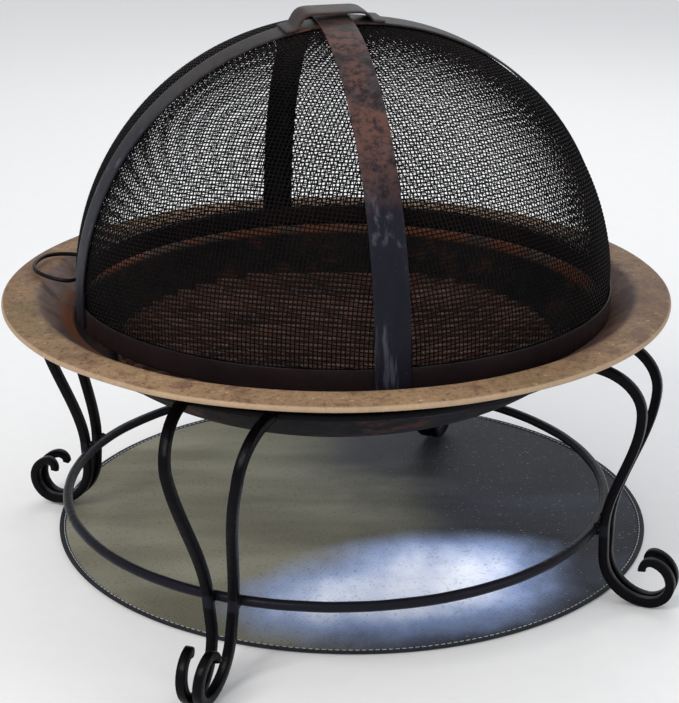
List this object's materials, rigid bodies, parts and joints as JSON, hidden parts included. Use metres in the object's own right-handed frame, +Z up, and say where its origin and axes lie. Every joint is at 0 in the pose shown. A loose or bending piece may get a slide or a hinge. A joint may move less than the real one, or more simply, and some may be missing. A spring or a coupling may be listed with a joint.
{
  "type": "fire pit with grate",
  "caption": "Round garden fire pit: flanged bowl on a scroll-footed stand, log grate inside, domed spark screen with crown grip and side handle, and a round ground mat.",
  "frame": {"origin": "on the ground, on the axis of the bowl and stand, at the underside of the mat", "axes": "+Z up along the bowl's axis; -Y is the front, where the first leg stands just to the left; +X to the right seen from the front"},
  "size_m": [0.7794, 0.8697, 0.662],
  "materials": {
    "black_iron": "satin black paint on wrought iron",
    "dark_strap": "heat-worn black paint with rust",
    "aged_copper": "weathered copper-bronze finish, sooted inside",
    "grate_steel": "burnt matt steel",
    "black_wire": "black woven wire",
    "silver_cloth": "silver-coated woven glass cloth",
    "cloth_binding": "dark stitched binding"
  },
  "bodies": {
    "stand": {"leg_front_bar_a": "black_iron", "leg_front_bar_b": "black_iron", "leg_right_bar_a": "black_iron", "leg_right_bar_b": "black_iron", "leg_back_bar_a": "black_iron", "leg_back_bar_b": "black_iron", "leg_left_bar_a": "black_iron", "leg_left_bar_b": "black_iron", "lower_hoop": "black_iron", "upper_hoop": "black_iron", "mat": "silver_cloth", "mat_binding": "cloth_binding"},
    "bowl": {"fire_bowl": "aged_copper"},
    "grate": {"grate_hoop": "grate_steel", "grate_bearer_left": "grate_steel", "grate_bearer_right": "grate_steel", "grate_bar_01": "grate_steel", "grate_bar_02": "grate_steel", "grate_bar_03": "grate_steel", "grate_bar_04": "grate_steel", "grate_bar_05": "grate_steel", "grate_bar_06": "grate_steel", "grate_bar_07": "grate_steel", "grate_bar_08": "grate_steel", "grate_bar_09": "grate_steel", "grate_bar_10": "grate_steel", "grate_bar_11": "grate_steel", "grate_bar_12": "grate_steel", "grate_bar_13": "grate_steel", "grate_bar_14": "grate_steel", "grate_bar_15": "grate_steel", "grate_bar_16": "grate_steel", "grate_bar_17": "grate_steel", "grate_bar_18": "grate_steel", "grate_bar_19": "grate_steel", "grate_bar_20": "grate_steel", "grate_bar_21": "grate_steel"},
    "screen": {"screen_band": "black_iron", "band_liner": "black_iron", "rib_under": "dark_strap", "rib_over": "dark_strap", "crown_grip": "dark_strap", "handle_clip": "black_iron", "mesh_front_left": "black_wire", "mesh_front_right": "black_wire", "mesh_back_right": "black_wire", "mesh_back_left": "black_wire"},
    "handle": {"side_handle": "black_iron"}
  },
  "joints": [
    {"name": "bowl_lift", "type": "slide", "parent": "stand", "child": "bowl", "axis": [0, 0, 1], "range_m": [0, 0.15]},
    {"name": "grate_lift", "type": "slide", "parent": "bowl", "child": "grate", "axis": [0, 0, 1], "range_m": [0, 0.12]},
    {"name": "screen_lift", "type": "slide", "parent": "bowl", "child": "screen", "axis": [0, 0, 1], "range_m": [0, 0.25]},
    {"name": "handle_swing", "type": "hinge", "parent": "screen", "child": "handle", "pos_m": [-0.29719, 0.05381, 0.3403], "axis": [0.1736, 0.9848, 0], "range_deg": [0, 80]}
  ]
}
